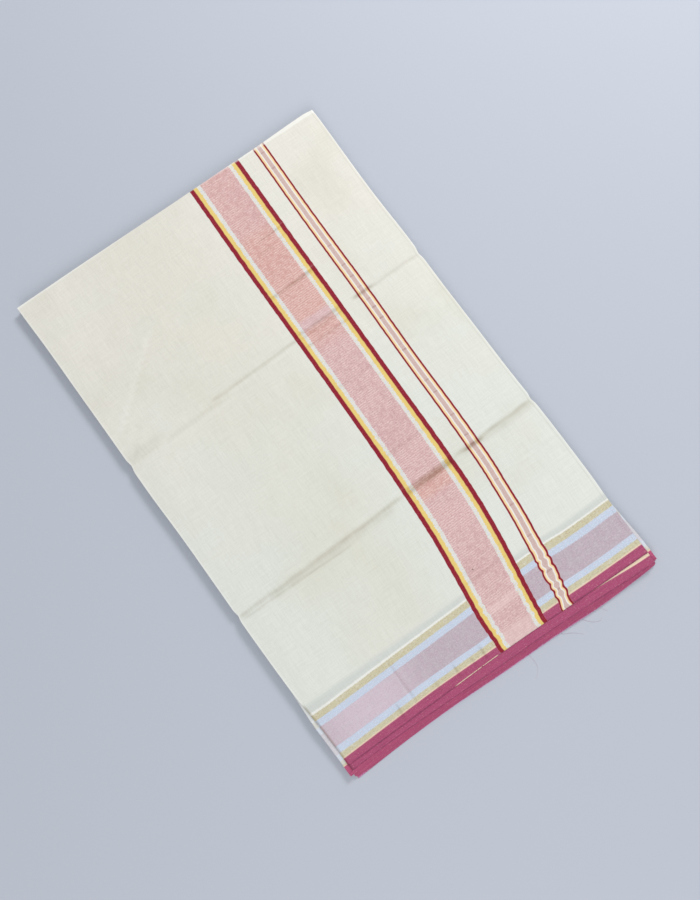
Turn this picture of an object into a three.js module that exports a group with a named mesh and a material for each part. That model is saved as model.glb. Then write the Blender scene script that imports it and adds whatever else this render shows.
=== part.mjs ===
// A saree folded flat: one woven length, halved selvedge to selvedge, then folded along its
// length into a pack of sixteen doubled panels. Millimetres, +Z up, resting on z = 0.
// X runs across the pack. Y runs from the near edge, where the selvedges lie, to the far edge,
// where the cloth is folded in half. The tables are measured on the pack as it lies, and the
// group moves the middle of its box to the origin.

import * as THREE from 'three';

// Cloth and pack
const PLY = 1.0;
const GAP = 0.3;
const PACK_HEIGHT = 9.4;
const FOLD_DROP = 0.7;
const FOLD_DROP_WIDTH = 22;
const NEAR_DROP = 1.5;
const NEAR_DROP_START = -225;
const NEAR_DROP_END = -284;
const SWELL = 0.28;
const SWELL_LENGTH = 230;
const SWELL_WIDTH = 170;

// Depth of each ply's outer face below the top of the pack
const TOP_DEPTH = 0;
const SECOND_DEPTH = PLY + GAP;
const HIDDEN_DEPTH = 2 * SECOND_DEPTH;
const HIDDEN_BASE = PLY + GAP;

// Folds: two plies turn at the far half fold, four at the left panel fold
const FAR_RADIUS = PLY + GAP / 2;
const LEFT_RADIUS = 2 * PLY + 1.5 * GAP;
const FAR_TURN_END = THREE.MathUtils.degToRad(82);
const FAR_TURN_STEPS = 3;
const LEFT_TURN_END = THREE.MathUtils.degToRad(86);
const LEFT_TURN_STEPS = 4;

// Outline across the pack at stations along Y
const SIDES = [
  { y: -290, left: -180.4, right: 186.0 },
  { y: -250, left: -180.9, right: 186.0 },
  { y: -225, left: -182.0, right: 186.2 },
  { y: -190, left: -184.5, right: 187.3 },
  { y: -120, left: -185.8, right: 187.2 },
  { y: -60, left: -185.9, right: 185.7 },
  { y: 0, left: -186.2, right: 185.3 },
  { y: 60, left: -187.6, right: 184.9 },
  { y: 120, left: -187.6, right: 185.4 },
  { y: 180, left: -188.1, right: 184.4 },
  { y: 240, left: -188.5, right: 185.4 },
  { y: 284, left: -189.6, right: 186.2 },
  { y: 300, left: -189.9, right: 185.2 },
];

// Near and far edges at stations along X: the top ply, the second ply, the lowest panel, the far fold
const ENDS = [
  { x: -183, top: -278.5, second: -284.7, lowest: -296.3, far: 298.4 },
  { x: -120, top: -278.8, second: -284.9, lowest: -295.2, far: 297.6 },
  { x: -60, top: -279.2, second: -287.0, lowest: -296.0, far: 296.4 },
  { x: 0, top: -279.6, second: -289.8, lowest: -299.0, far: 295.1 },
  { x: 60, top: -281.5, second: -291.3, lowest: -300.8, far: 294.1 },
  { x: 120, top: -284.3, second: -294.6, lowest: -304.2, far: 293.3 },
  { x: 174, top: -286.4, second: -298.6, lowest: -304.0, far: 293.2 },
  { x: 187, top: -287.0, second: -299.2, lowest: -303.2, far: 291.4 },
];

// Creases across the whole pack from an earlier fold in three
const LOWER_CREASE = { yLeft: -96.2, yRight: -93.6, depth: 1.0, width: 4.2, pinch: 0.9 };
const UPPER_CREASE = { yLeft: 91.6, yRight: 98.0, depth: 0.8, width: 5.2, pinch: 1.1 };

// Places of the grid lines: shares of the width, and distances in mm from the creases
const COLUMNS = [0, 0.02, 0.06, 0.14, 0.24, 0.34, 0.44, 0.54, 0.64, 0.74, 0.84, 0.92, 0.97, 1];
const CREASE_STEPS = [3.5, 9, 20, 52];
const NEAR_STEPS = [3.5, 9, 20, 50, 90, 128, 160];
const FAR_STEPS = [3.5, 9, 20, 55, 100, 145, 178];

// Layers of the hidden panels from the lowest up: how far inside the outline each one's edges lie
// (the near one is measured from the lowest panel's selvedge), and how much of it peeps out past
// the top panel at the near ends of the sides
const LAYERS = [
  { near: 1.6, right: 1.9, far: 1.9, left: 1.5, peep: 0.1 },
  { near: 3.2, right: 0.2, far: 1.0, left: 0.2, peep: 0.7 },
  { near: 4.8, right: 1.3, far: 2.2, left: 1.8, peep: 0.5 },
  { near: 6.6, right: 0.1, far: 0.8, left: 0.6, peep: 1 },
  { near: 8.8, right: 0.9, far: 1.5, left: 0.1, peep: 0.2 },
];
const LAYER_GROOVE = 0.8;
const GROOVE_SHARE = 0.12;
const TOP_GROOVE_SHARE = 0.08;
const HIDDEN_RIM = { near: 10.4, right: 2.4, far: 3.2 };
const PEEP_LEFT = 4.8;
const PEEP_RIGHT = 4.3;
const PEEP_START = -178;
const PEEP_FULL = -232;

// The lowest panel lies flat, a little narrower than the rest
const LOWEST = {
  nearLeft: -181.4, nearRight: 187.3, farLeft: -186.0, farRight: 183.2, farShort: 2.2, edgeRound: 0.3,
};
const LOWEST_ROWS = [0, 0.25, 0.5, 0.75, 1];

const CREAM = 0xe0dfd4;
const MAGENTA = 0xa8577a;

const { lerp, smoothstep } = THREE.MathUtils;

// Value of one column of a table at a place, on a smooth curve through its rows
function along(rows, place, key, at) {
  const last = rows.length - 1;
  const slope = (i) => {
    const before = rows[Math.max(i - 1, 0)];
    const after = rows[Math.min(i + 1, last)];
    return (after[key] - before[key]) / (after[place] - before[place]);
  };
  let i = 0;
  while (i < last - 1 && at > rows[i + 1][place]) i += 1;
  const span = rows[i + 1][place] - rows[i][place];
  const t = THREE.MathUtils.clamp((at - rows[i][place]) / span, 0, 1);
  const t2 = t * t;
  const t3 = t2 * t;
  return (2 * t3 - 3 * t2 + 1) * rows[i][key] + (t3 - 2 * t2 + t) * span * slope(i)
    + (3 * t2 - 2 * t3) * rows[i + 1][key] + (t3 - t2) * span * slope(i + 1);
}

const acrossAt = (share) => lerp(ENDS[0].x, ENDS[ENDS.length - 1].x, share);
const endAt = (key, share) => along(ENDS, 'x', key, acrossAt(share));
const creaseLine = (crease, share) => lerp(crease.yLeft, crease.yRight, share);

// How much of a crease is felt at a place, from 0 to 1
function creaseShare(crease, share, y) {
  const d = (y - creaseLine(crease, share)) / crease.width;
  return Math.exp(-d * d);
}

// The outline is nipped in where a crease meets it
function sideAt(key, y) {
  const share = key === 'left' ? 0 : 1;
  const inward = key === 'left' ? 1 : -1;
  const nip = LOWER_CREASE.pinch * creaseShare(LOWER_CREASE, share, y)
    + UPPER_CREASE.pinch * creaseShare(UPPER_CREASE, share, y);
  return along(SIDES, 'y', key, y) + inward * nip;
}

// Top of the pack: thinner towards its folds and selvedges, dented along the creases
function topHeight(x, y) {
  const share = (x - ENDS[0].x) / (ENDS[ENDS.length - 1].x - ENDS[0].x);
  const toSide = Math.min(x - sideAt('left', y), sideAt('right', y) - x);
  const toFar = endAt('far', share) - y;
  const fromFold = smoothstep(Math.min(toSide, toFar), 0, FOLD_DROP_WIDTH);
  const towardsNear = 1 - smoothstep(y, NEAR_DROP_END, NEAR_DROP_START);
  const swell = Math.sin((2 * Math.PI * y) / SWELL_LENGTH) * Math.cos((2 * Math.PI * x) / SWELL_WIDTH);
  return PACK_HEIGHT - FOLD_DROP * (1 - fromFold) - NEAR_DROP * towardsNear
    - LOWER_CREASE.depth * creaseShare(LOWER_CREASE, share, y)
    - UPPER_CREASE.depth * creaseShare(UPPER_CREASE, share, y)
    + SWELL * swell * fromFold;
}

// Y of every row of the grid at one share of the width, between a near edge and a far edge
function rowsAt(share, near, far) {
  const lower = creaseLine(LOWER_CREASE, share);
  const upper = creaseLine(UPPER_CREASE, share);
  return [
    near,
    ...[...NEAR_STEPS].reverse().map((step) => lower - step),
    lower,
    ...CREASE_STEPS.map((step) => lower + step),
    (lower + upper) / 2,
    ...[...CREASE_STEPS].reverse().map((step) => upper - step),
    upper,
    ...FAR_STEPS.map((step) => upper + step),
    far,
  ];
}

// A grid of points over the pack at one depth below its top. Its first column lies where the left
// fold begins to turn. The margins say how far inside the near, right and far edges it ends.
function sheetGrid({ edge, near = 0, right = 0, far = 0, depth }) {
  const lastColumn = COLUMNS.length - 1;
  return COLUMNS.map((share, i) => {
    const rows = rowsAt(share, endAt(edge, share) + near, endAt('far', share) - far);
    return rows.map((y) => {
      const x = lerp(sideAt('left', y) + LEFT_RADIUS, sideAt('right', y), share);
      const inside = i === lastColumn ? right : 0;
      return new THREE.Vector3(x - inside, y, topHeight(x, y) - depth);
    });
  });
}

// Collects the corners and faces of one closed solid
class Skin {
  constructor() {
    this.positions = [];
    this.faces = [];
  }

  add(point) {
    this.positions.push(point.x, point.y, point.z);
    return this.positions.length / 3 - 1;
  }

  quad(a, b, c, d) {
    this.faces.push(a, b, c, a, c, d);
  }

  // Faces between two closed loops of corners
  band(loop, next) {
    loop.forEach((corner, i) => {
      const j = (i + 1) % loop.length;
      this.quad(corner, loop[j], next[j], next[i]);
    });
  }

  geometry() {
    const shape = new THREE.BufferGeometry();
    shape.setAttribute('position', new THREE.Float32BufferAttribute(this.positions, 3));
    shape.setIndex(this.faces);
    shape.computeVertexNormals();
    return shape;
  }
}

function named(name, skin, color, roughness) {
  const material = new THREE.MeshStandardMaterial({ color, roughness, metalness: 0 });
  const mesh = new THREE.Mesh(skin.geometry(), material);
  mesh.name = name;
  return mesh;
}

// One ply of cloth as a wall, cut square at its selvedge and its cut end, turned down at the left
// fold and turned over at the far half fold. The turn of the far fold runs from flatTurn to
// endTurn, where 0 is the upper ply and a half turn the lower one.
function plySolid({ edge, outerDepth, right, flatTurn, endTurn }) {
  const innerDepth = outerDepth + PLY;
  const grid = sheetGrid({ edge, right, far: FAR_RADIUS, depth: 0 });
  const rowCount = grid[0].length;

  // A point of the section at one row: a column of the grid, or a place round the left fold
  const sectionPoint = (row, column, turn, depth, reach) => {
    const base = grid[column][row];
    const radius = LEFT_RADIUS - depth;
    const x = base.x - radius * Math.sin(turn);
    const z = base.z - LEFT_RADIUS + radius * Math.cos(turn);
    return new THREE.Vector3(x, base.y + reach, z);
  };
  const places = [];
  for (let i = COLUMNS.length - 1; i >= 0; i -= 1) places.push({ column: i, turn: 0 });
  for (let i = 1; i <= LEFT_TURN_STEPS; i += 1) {
    places.push({ column: 0, turn: (LEFT_TURN_END * i) / LEFT_TURN_STEPS });
  }

  const skin = new Skin();
  const ring = (row, outer, inner) => {
    const outside = places.map((p) => skin.add(sectionPoint(row, p.column, p.turn, outer.depth, outer.reach)));
    const inside = places.map((p) => skin.add(sectionPoint(row, p.column, p.turn, inner.depth, inner.reach)));
    return [...outside, ...inside.reverse()];
  };

  const rings = [];
  for (let row = 0; row < rowCount; row += 1) {
    rings.push(ring(row, { depth: outerDepth, reach: 0 }, { depth: innerDepth, reach: 0 }));
  }
  for (let i = 1; i <= FAR_TURN_STEPS; i += 1) {
    const turn = lerp(flatTurn, endTurn, i / FAR_TURN_STEPS);
    const lip = (depth) => {
      const arm = Math.abs(FAR_RADIUS - depth);
      return { depth: FAR_RADIUS - arm * Math.cos(turn), reach: arm * Math.sin(turn) };
    };
    rings.push(ring(rowCount - 1, lip(outerDepth), lip(innerDepth)));
  }
  for (let i = 0; i < rings.length - 1; i += 1) skin.band(rings[i + 1], rings[i]);
  const capEnd = (loop, flip) => {
    const half = loop.length / 2;
    for (let i = 0; i < half - 1; i += 1) {
      const corners = [loop[i], loop[i + 1], loop[loop.length - 2 - i], loop[loop.length - 1 - i]];
      skin.quad(...(flip ? corners.reverse() : corners));
    }
  };
  capEnd(rings[0], false);
  capEnd(rings[rings.length - 1], true);
  return skin;
}

// Corners of a grid's outline, anticlockwise seen from above, with the sides that each lies on
function outlineOf(grid) {
  const lastColumn = grid.length - 1;
  const lastRow = grid[0].length - 1;
  const steps = [];
  for (let i = 0; i < lastColumn; i += 1) steps.push([i, 0]);
  for (let j = 0; j < lastRow; j += 1) steps.push([lastColumn, j]);
  for (let i = lastColumn; i > 0; i -= 1) steps.push([i, lastRow]);
  for (let j = lastRow; j > 0; j -= 1) steps.push([0, j]);
  return steps.map(([i, j]) => ({
    column: i,
    row: j,
    point: grid[i][j],
    onLeft: i === 0,
    onRight: i === lastColumn,
    onNear: j === 0,
    onFar: j === lastRow,
  }));
}

// A face over a grid whose rim corners are already in the solid
function cover(skin, grid, rim, upward) {
  const corners = grid.map((column) => column.map(() => -1));
  outlineOf(grid).forEach(({ column, row }, k) => {
    corners[column][row] = rim[k];
  });
  grid.forEach((column, i) => {
    column.forEach((point, j) => {
      if (corners[i][j] < 0) corners[i][j] = skin.add(point);
    });
  });
  for (let i = 0; i < grid.length - 1; i += 1) {
    for (let j = 0; j < grid[0].length - 1; j += 1) {
      const square = [corners[i][j], corners[i + 1][j], corners[i + 1][j + 1], corners[i][j + 1]];
      skin.quad(...(upward ? square : square.reverse()));
    }
  }
}

// A closed solid from loops of points stacked upwards, with a face over each end
function stackedSolid(loops, floorGrid, topGrid) {
  const skin = new Skin();
  const rings = loops.map((points) => points.map((point) => skin.add(point)));
  for (let i = 0; i < rings.length - 1; i += 1) skin.band(rings[i], rings[i + 1]);
  cover(skin, floorGrid, rings[0], false);
  cover(skin, topGrid, rings[rings.length - 1], true);
  return skin;
}

// The panels between: one solid whose edges are layered like the folds and selvedges in it
function hiddenSolid() {
  const topGrid = sheetGrid({ edge: 'lowest', ...HIDDEN_RIM, depth: HIDDEN_DEPTH });
  const floorGrid = topGrid.map((column) => column.map(({ x, y }) => new THREE.Vector3(x, y, HIDDEN_BASE)));
  const outline = outlineOf(topGrid);

  const layerPoint = (corner, layer, share, groove) => {
    const { point } = corner;
    const across = COLUMNS[corner.column];
    const peep = layer.peep * (1 - smoothstep(point.y, PEEP_FULL, PEEP_START));
    let { x, y } = point;
    if (corner.onNear) y = endAt('lowest', across) + layer.near + groove;
    if (corner.onFar) y = endAt('far', across) - layer.far - groove;
    if (corner.onLeft) x = sideAt('left', y) + layer.left - peep * PEEP_LEFT + groove;
    if (corner.onRight) x = sideAt('right', y) - layer.right + peep * PEEP_RIGHT - groove;
    return new THREE.Vector3(x, y, lerp(HIDDEN_BASE, point.z, share));
  };
  const loops = LAYERS.flatMap((layer, k) => {
    const isLowest = k === 0;
    const isTop = k === LAYERS.length - 1;
    const marks = [
      { within: isLowest ? 0 : GROOVE_SHARE, groove: LAYER_GROOVE },
      { within: 0.5, groove: 0 },
      { within: 1 - (isTop ? TOP_GROOVE_SHARE : GROOVE_SHARE), groove: isTop ? LAYER_GROOVE / 4 : LAYER_GROOVE },
    ];
    return marks.map(({ within, groove }) => {
      const share = (k + within) / LAYERS.length;
      return outline.map((corner) => layerPoint(corner, layer, share, groove));
    });
  });
  loops.push(outline.map(({ point }) => point));
  return stackedSolid(loops, floorGrid, topGrid);
}

// The lowest panel: a flat ply with softened edges, the furthest out at the near edge
function lowestSolid() {
  const flatGrid = (z, inset) => COLUMNS.map((share, i) => {
    const near = endAt('lowest', share) + inset;
    const far = endAt('far', share) - LOWEST.farShort - inset;
    const inward = (i === 0 ? inset : 0) - (i === COLUMNS.length - 1 ? inset : 0);
    return LOWEST_ROWS.map((along) => {
      const left = lerp(LOWEST.nearLeft, LOWEST.farLeft, along);
      const right = lerp(LOWEST.nearRight, LOWEST.farRight, along);
      return new THREE.Vector3(lerp(left, right, share) + inward, lerp(near, far, along), z);
    });
  });
  const { edgeRound } = LOWEST;
  const floorGrid = flatGrid(0, edgeRound);
  const topGrid = flatGrid(PLY, edgeRound);
  const grids = [floorGrid, flatGrid(edgeRound, 0), flatGrid(PLY - edgeRound, 0), topGrid];
  const loops = grids.map((grid) => outlineOf(grid).map(({ point }) => point));
  return stackedSolid(loops, floorGrid, topGrid);
}

const topPly = plySolid({
  edge: 'top', outerDepth: TOP_DEPTH, right: 0, flatTurn: 0, endTurn: FAR_TURN_END,
});
const secondPly = plySolid({
  edge: 'second', outerDepth: SECOND_DEPTH, right: -0.7, flatTurn: Math.PI, endTurn: Math.PI - FAR_TURN_END,
});

const pack = new THREE.Group();
pack.add(
  named('top_panel', topPly, CREAM, 0.72),
  named('second_ply', secondPly, MAGENTA, 0.75),
  named('hidden_layers', hiddenSolid(), CREAM, 0.78),
  named('underside_panel', lowestSolid(), MAGENTA, 0.75),
);

const box = new THREE.Box3().setFromObject(pack);
const middle = box.getCenter(new THREE.Vector3());
pack.position.set(-middle.x, -middle.y, 0);

export default pack;
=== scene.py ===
from collections import namedtuple
import math

import bmesh
import bpy
from mathutils import Euler, Matrix, Vector, noise


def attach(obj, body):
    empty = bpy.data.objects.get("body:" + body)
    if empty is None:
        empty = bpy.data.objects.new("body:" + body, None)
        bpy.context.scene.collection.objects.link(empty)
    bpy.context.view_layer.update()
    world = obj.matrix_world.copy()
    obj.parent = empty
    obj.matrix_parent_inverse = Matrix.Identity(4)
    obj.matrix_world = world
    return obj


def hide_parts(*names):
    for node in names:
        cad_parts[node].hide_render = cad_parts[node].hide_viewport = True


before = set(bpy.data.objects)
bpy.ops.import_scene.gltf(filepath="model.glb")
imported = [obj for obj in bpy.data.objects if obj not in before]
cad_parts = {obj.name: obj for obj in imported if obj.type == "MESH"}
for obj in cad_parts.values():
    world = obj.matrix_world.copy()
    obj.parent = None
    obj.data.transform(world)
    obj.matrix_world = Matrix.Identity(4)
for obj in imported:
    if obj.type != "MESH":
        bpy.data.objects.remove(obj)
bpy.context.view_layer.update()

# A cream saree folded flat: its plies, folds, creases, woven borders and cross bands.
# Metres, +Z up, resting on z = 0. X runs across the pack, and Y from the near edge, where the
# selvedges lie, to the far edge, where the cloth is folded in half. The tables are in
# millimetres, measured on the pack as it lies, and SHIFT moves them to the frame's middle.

MM = 0.001
SHIFT = (-0.12, 2.99)

# The cloth and how it is folded: halved selvedge to selvedge, then sixteen panels
PANELS = 16
PLIES = 2 * PANELS
PLY = 0.17
PACK_HEIGHT = 9.4
PANEL_WIDTH = 372.0
CLOTH_WIDTH = 1155.0
FOLD_FULLNESS = 1.7
FOLD_DROP = 0.7
FOLD_DROP_WIDTH = 22.0
NEAR_DROP = 1.5
NEAR_DROP_START = -225.0
NEAR_DROP_END = -284.0
SWELL = 0.28
SWELL_LENGTH = 230.0
SWELL_WIDTH = 170.0

# Outline across the pack: y, left, right
LEFT, RIGHT = 1, 2
SIDES = (
    (-290, -180.4, 186.0),
    (-250, -180.9, 186.0),
    (-225, -182.0, 186.2),
    (-190, -184.5, 187.3),
    (-120, -185.8, 187.2),
    (-60, -185.9, 185.7),
    (0, -186.2, 185.3),
    (60, -187.6, 184.9),
    (120, -187.6, 185.4),
    (180, -188.1, 184.4),
    (240, -188.5, 185.4),
    (284, -189.6, 186.2),
    (300, -189.9, 185.2),
)

# Ends of the pack: x, top ply's selvedge, second ply's, lowest panel's, far fold
TOP_END, SECOND_END, LOWEST_END, FAR_END = 1, 2, 3, 4
ENDS = (
    (-183, -278.5, -284.7, -296.3, 298.4),
    (-120, -278.8, -284.9, -295.2, 297.6),
    (-60, -279.2, -287.0, -296.0, 296.4),
    (0, -279.6, -289.8, -299.0, 295.1),
    (60, -281.5, -291.3, -300.8, 294.1),
    (120, -284.3, -294.6, -304.2, 293.3),
    (174, -286.4, -298.6, -304.0, 293.2),
    (187, -287.0, -299.2, -303.2, 291.4),
)

# Main creases: y at the left, y at the right, depth, width, how far the outline is nipped in
MainCrease = namedtuple("MainCrease", "left right depth width nip")
LOWER_CREASE = MainCrease(-96.2, -93.6, 1.0, 4.2, 0.9)
UPPER_CREASE = MainCrease(91.6, 98.0, 0.8, 5.2, 1.1)
CREASE_REACH = 15

# Cross bands: y, then x of the outer edges of the narrow band and of the wide one
BANDS = (
    (-284, 94.2, 80.4, 62.8, 6.4),
    (-268, 97.7, 84.0, 64.7, 7.0),
    (-240, 103.0, 87.0, 68.7, 7.7),
    (-205, 107.3, 92.0, 74.7, 12.0),
    (-180, 110.7, 95.7, 78.3, 15.0),
    (-150, 113.3, 98.7, 81.7, 18.3),
    (-120, 116.0, 101.3, 83.7, 20.3),
    (-60, 117.7, 103.3, 85.3, 23.0),
    (20, 118.0, 104.3, 86.3, 24.7),
    (100, 120.0, 106.0, 87.7, 25.7),
    (200, 120.7, 107.0, 88.7, 26.7),
    (285, 122.7, 109.0, 90.3, 28.3),
    (300, 123.0, 109.3, 90.6, 28.6),
)
BAND_PLACES = (63.5, 77.5, 95.5, 157.5)

# Woven border: x, then y where magenta, gold, silver, mauve, silver, gold, white and grey end
BORDER = (
    (-190, -270.8, -264.3, -256.9, -232.4, -225.2, -219.2, -216.6, -207.0),
    (-120, -269.8, -263.8, -256.8, -232.2, -225.2, -218.8, -216.4, -208.5),
    (-60, -269.7, -263.9, -257.3, -231.9, -225.1, -218.5, -216.3, -210.0),
    (10, -272.3, -265.0, -259.3, -231.8, -225.1, -218.4, -216.3, -210.6),
    (62, -273.0, -266.2, -259.6, -231.8, -225.2, -218.0, -216.2, -211.0),
    (98, -274.0, -267.0, -260.3, -232.2, -225.7, -218.2, -216.6, -211.3),
    (112, -274.7, -267.8, -261.4, -233.9, -227.0, -219.2, -217.5, -212.2),
    (130, -275.3, -268.6, -262.3, -235.2, -227.9, -220.8, -219.1, -213.5),
    (190, -276.7, -270.2, -263.4, -236.3, -228.7, -221.8, -220.2, -214.0),
)
BORDER_PLACES = (8.0, 14.2, 21.2, 46.4, 53.4, 60.0, 62.1, 69.0)

# On the other half of the cloth, true widths are kept this far in from the selvedge
SECOND_STRIP = 120

# Fold lines of the panels from the top down: how far inside the outline, how much of the fold
# peeps out near the front, how far its two selvedges lie behind the lowest panel's, and how far
# its half fold lies short of the far edge
INSET, PEEP, FIRST, OTHER, HALF_FOLD = 0, 1, 2, 3, 4
LEFT_FOLDS = (
    (0.9, 0.0, 17.8, 11.6, 0.2),
    (1.2, 1.0, 8.3, 7.4, 1.0),
    (1.7, 0.7, 9.0, 8.0, 0.5),
    (1.0, 0.3, 7.6, 8.6, 1.7),
    (2.4, 0.6, 4.4, 3.8, 2.1),
    (1.1, 0.2, 3.4, 2.6, 0.9),
    (2.1, 0.1, 2.0, 1.5, 1.9),
    (1.6, 0.0, 0.0, 1.0, 2.2),
)
RIGHT_FOLDS = (
    (0.0, 0.0, 16.2, 4.0, 0.1),
    (1.2, 1.0, 6.5, 5.8, 0.8),
    (1.9, 0.8, 6.2, 5.0, 1.6),
    (1.0, 0.4, 5.6, 4.8, 0.4),
    (2.2, 0.5, 2.6, 3.2, 1.4),
    (1.1, 0.3, 2.2, 1.4, 2.2),
    (2.0, 0.6, 1.6, 2.0, 1.0),
    (1.4, 0.1, 1.0, 0.6, 1.9),
    (0.6, 0.0, 0.0, 0.8, 2.2),
)

# How much further back the selvedges lie in the middle of the upper panels and the lower ones
UPPER_BOW = 2.8
LOWER_BOW = 0.5
UPPER_PANELS = 6
FOLD_WAVER = 0.45
WAVER_LENGTH = 38
FAR_TURN = 0.3
FOLD_LENGTH = 1.5
TOP_LIFT = 0.3
SECOND_LIFT = 0.4
RUMPLE = 0.12
SOFTNESS = 0.22
BAND_THICKENING = 0.12

# Openings between groups of plies at the near edge: the first ply below each, and its height
SHELVES = ((1, 0.35), (2, 0.3), (10, 0.4))
SHELF_START = -266.0
SHELF_END = -290.0

# How far a fold or cut end peeps out at most, and y where that starts and where it is full
PEEP_LEFT = (4.9, -176.0, -236.0)
PEEP_RIGHT = (4.4, -208.0, -278.0)

# X of the lowest panel's folds at the near edge and at the far one
LOWEST_LEFT = (-181.4, -186.0)
LOWEST_RIGHT = (187.0, 183.2)

# Fine creases of the top ply, from one end to the other: x, y, x, y, height, width
CREASES = (
    # beside the fold lines across the pack
    (-188, 97.6, -146, 97.0, 0.24, 1.8),
    (-142, 88.0, -58, 88.6, 0.26, 1.9),
    (-84, 101.6, 32, 102.0, 0.28, 1.6),
    (-84, 93.4, 28, 93.6, 0.22, 1.6),
    (30, 103.6, 88, 104.0, 0.26, 1.4),
    (30, 98.0, 88, 98.2, 0.24, 1.1),
    (30, 87.6, 88, 88.0, 0.20, 1.3),
    (120, 101.8, 182, 102.0, 0.28, 1.6),
    (-40, 86.0, -18, 86.2, 0.20, 1.3),
    (-188, -93.2, -60, -92.2, 0.30, 1.7),
    (-64, -92.0, 186, -90.4, 0.30, 1.7),
    (-182, -100.6, -48, -102.6, 0.26, 1.2),
    (-178, -105.6, -48, -108.6, 0.20, 1.4),
    (24, -91.4, 84, -91.0, 0.24, 1.2),
    (24, -101.6, 84, -101.2, 0.28, 1.6),
    # across the wide band
    (28, 208.4, 90, 208.8, 0.20, 1.1),
    (30, 194.6, 88, 199.6, 0.16, 1.1),
    (27, 152.2, 88, 152.6, 0.26, 1.1),
    (26, 33.6, 86, 34.0, 0.18, 1.1),
    (24, -51.4, 84, -51.0, 0.20, 1.2),
    (16, -196.0, 76, -190.0, 0.18, 1.1),
    (14, -207.6, 74, -207.6, 0.18, 1.1),
    (10, -240.0, 70, -239.0, 0.16, 1.3),
    # slanting, in the cream
    (-178, 122.0, -84, 201.0, 0.26, 3.2),
    (-186, -88.0, -118, -58.0, 0.16, 3.4),
    (128, 168.0, 176, 206.0, 0.18, 3.0),
    (136, 190.0, 164, 214.0, 0.12, 3.0),
    (-184, 96.0, -150, 132.0, 0.20, 3.0),
    # upright, soft
    (-88, 6.0, -84, 84.0, 0.18, 4.5),
    (-52, 2.0, -50, 78.0, 0.20, 5.0),
    (-18, 14.0, -22, 82.0, 0.16, 4.5),
    # in the border
    (-89, -216.0, -89, -273.0, 0.30, 1.5),
    (-105, -259.0, -106, -279.0, 0.34, 1.6),
    (-60, -260.0, -61, -279.0, 0.30, 1.5),
    (-37, -258.0, -37, -279.0, 0.36, 1.6),
    (-18, -262.0, -18, -279.0, 0.32, 1.5),
    (-5, -260.0, -5, -279.0, 0.36, 1.6),
    (131, -265.0, 131, -283.0, 0.18, 1.6),
    (160, -262.0, 160, -284.0, 0.18, 1.8),
)

CREASE_WANDER = 0.8
CREASE_FADE = 9

# Painted shade along the creases, and painted highlight where darker by is below 0: x, y, x, y, darker
# by, width
CREASE_SHADE_LINES = (
    (-188, -98.2, -58, -97.8, 0.055, 2.2),
    (-64, -97.6, 22, -96.6, 0.080, 2.2),
    (22, -97.2, 86, -96.6, 0.170, 3.4),
    (24, -93.2, 84, -92.8, 0.080, 1.1),
    (84, -95.2, 188, -94.2, 0.085, 2.0),
    (-184, -102.6, -126, -103.4, 0.055, 1.2),
    (-130, -103.6, -46, -106.0, 0.048, 1.2),
    (-150, -100.6, 10, -101.6, 0.035, 4.0),
    (92, -98.4, 188, -98.2, 0.038, 3.6),
    (94, -96.6, 124, -96.0, 0.130, 1.7),
    (98, 98.6, 128, 99.4, 0.110, 1.6),
    (-120, -92.0, 186, -89.8, -0.015, 2.0),
    (-190, 97.0, -138, 98.4, 0.030, 6.0),
    (-188, 92.4, -148, 92.4, 0.022, 1.6),
    (-142, 92.0, -56, 92.8, 0.024, 2.6),
    (-142, 86.2, -60, 86.2, -0.020, 2.4),
    (-84, 97.2, 32, 97.6, 0.055, 1.8),
    (-80, 93.0, 24, 93.2, -0.015, 1.6),
    (28, 100.6, 88, 100.8, 0.090, 1.7),
    (28, 95.2, 88, 95.6, 0.060, 1.4),
    (28, 84.8, 88, 84.4, 0.060, 1.3),
    (98, 97.6, 186, 98.2, 0.050, 1.6),
    (50, 206.4, 92, 206.8, 0.085, 1.0),
    (50, 208.6, 92, 209.0, -0.030, 1.0),
    (30, 192.6, 88, 197.6, 0.040, 1.1),
    (27, 149.6, 90, 150.2, 0.095, 1.0),
    (27, 152.0, 90, 152.6, -0.035, 1.0),
    (26, 31.6, 86, 32.0, 0.035, 1.1),
    (24, -53.4, 84, -53.0, 0.040, 1.2),
    (14, -205.4, 74, -205.4, 0.050, 1.2),
    (16, -198.0, 76, -192.0, 0.030, 1.1),
    (-181, 122.4, -88, 199.4, -0.050, 2.6),
    (-178, 119.0, -84, 196.4, 0.014, 2.6),
    (-182, 92.0, -148, 128.0, 0.020, 2.4),
    (-89, -216.0, -89, -273.0, 0.045, 1.5),
    (-91.6, -216.0, -91.6, -273.0, -0.025, 1.3),
    (-107, -256.0, -108, -277.0, 0.080, 1.5),
    (-62, -260.0, -63, -278.0, 0.060, 1.4),
    (-39, -258.0, -39, -278.0, 0.075, 1.5),
    (-20, -262.0, -20, -278.0, 0.060, 1.4),
    (-7, -260.0, -7, -278.0, 0.075, 1.5),
)

# Where the rows and columns of the top ply lie closer: y of the main creases and of the fine ones
# across the wide band, y where the border ends and the far roll starts, and x of the puckers
MAIN_CREASES = (-95, 95)
BAND_CREASES = (207, 196.5, 151, 33, -52.5, -193.5, -206.5)
BORDER_END = -205
FAR_ROLL_START = 270
PUCKERS = (-106, -89.5, -61, -38, -19, -6)
BAND_X = 58

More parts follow.
